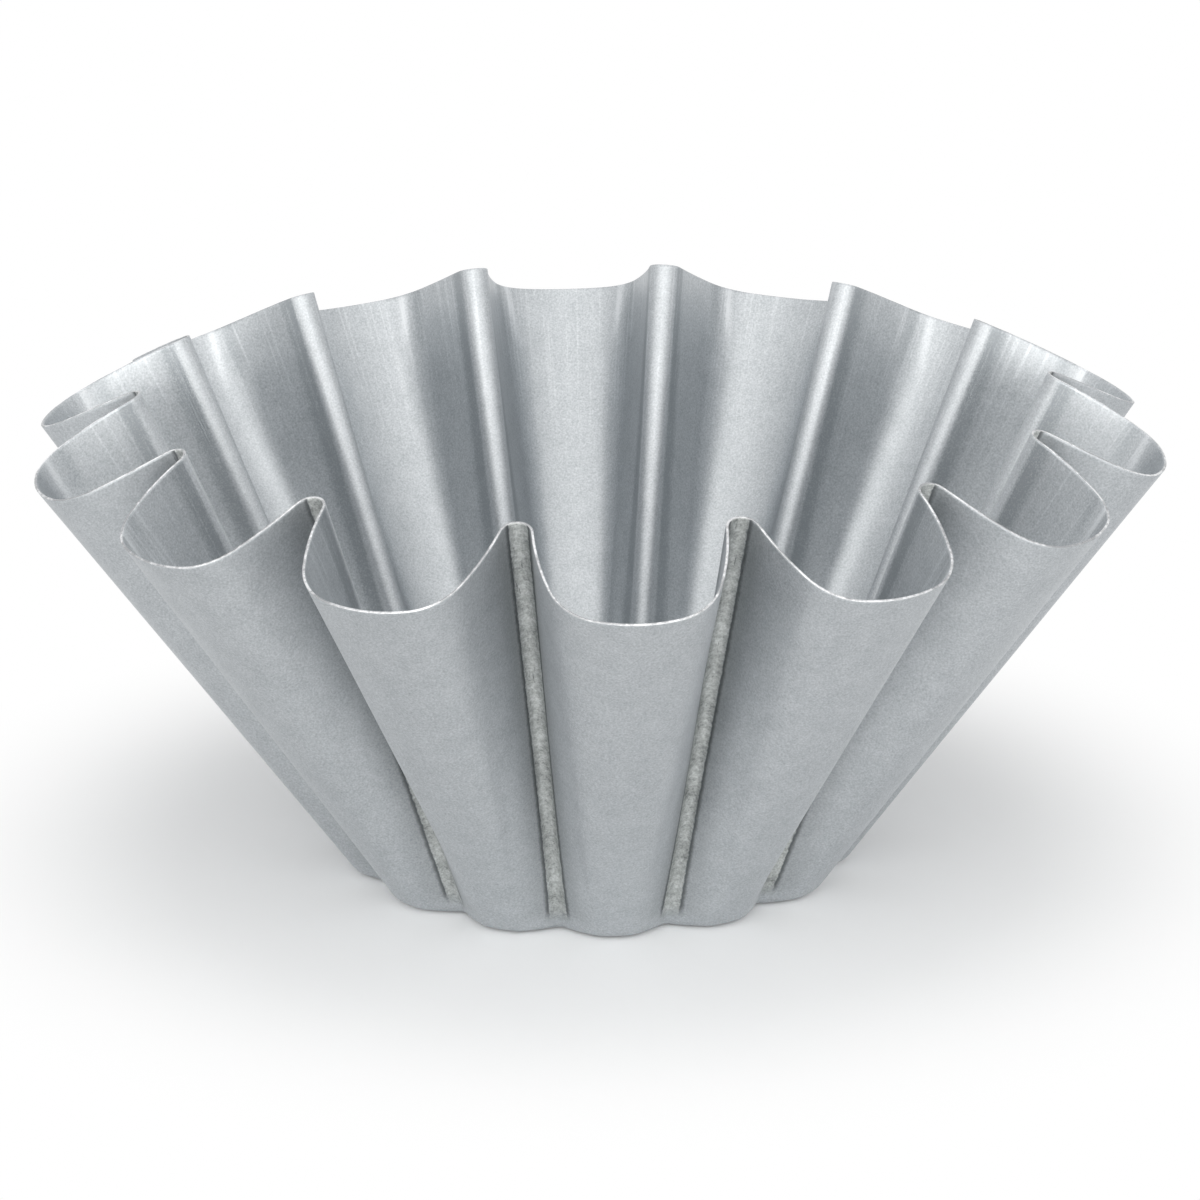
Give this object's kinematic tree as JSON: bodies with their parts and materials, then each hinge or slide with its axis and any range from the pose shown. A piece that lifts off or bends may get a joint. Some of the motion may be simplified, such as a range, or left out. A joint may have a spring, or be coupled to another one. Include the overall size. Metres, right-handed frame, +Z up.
{
  "type": "brioche mould",
  "caption": "Round fluted brioche mould of thin pressed steel: wide flutes with sharp inward folds flare from a small scalloped flat base to a wavy open rim.",
  "frame": {"origin": "middle of the base's underside, where the mould stands", "axes": "+Z up out of the mouth, -Y through the crown of the flute that faces the front; folds lie on +X and -X"},
  "size_m": [0.2162, 0.2204, 0.0956],
  "materials": {
    "coated_steel": "satin silver-grey coated steel sheet with a fine grain, brighter along the rubbed inner folds and the cut rim, duller in the outer grooves"
  },
  "bodies": {
    "root": {"mould_shell": "coated_steel"}
  },
  "joints": []
}
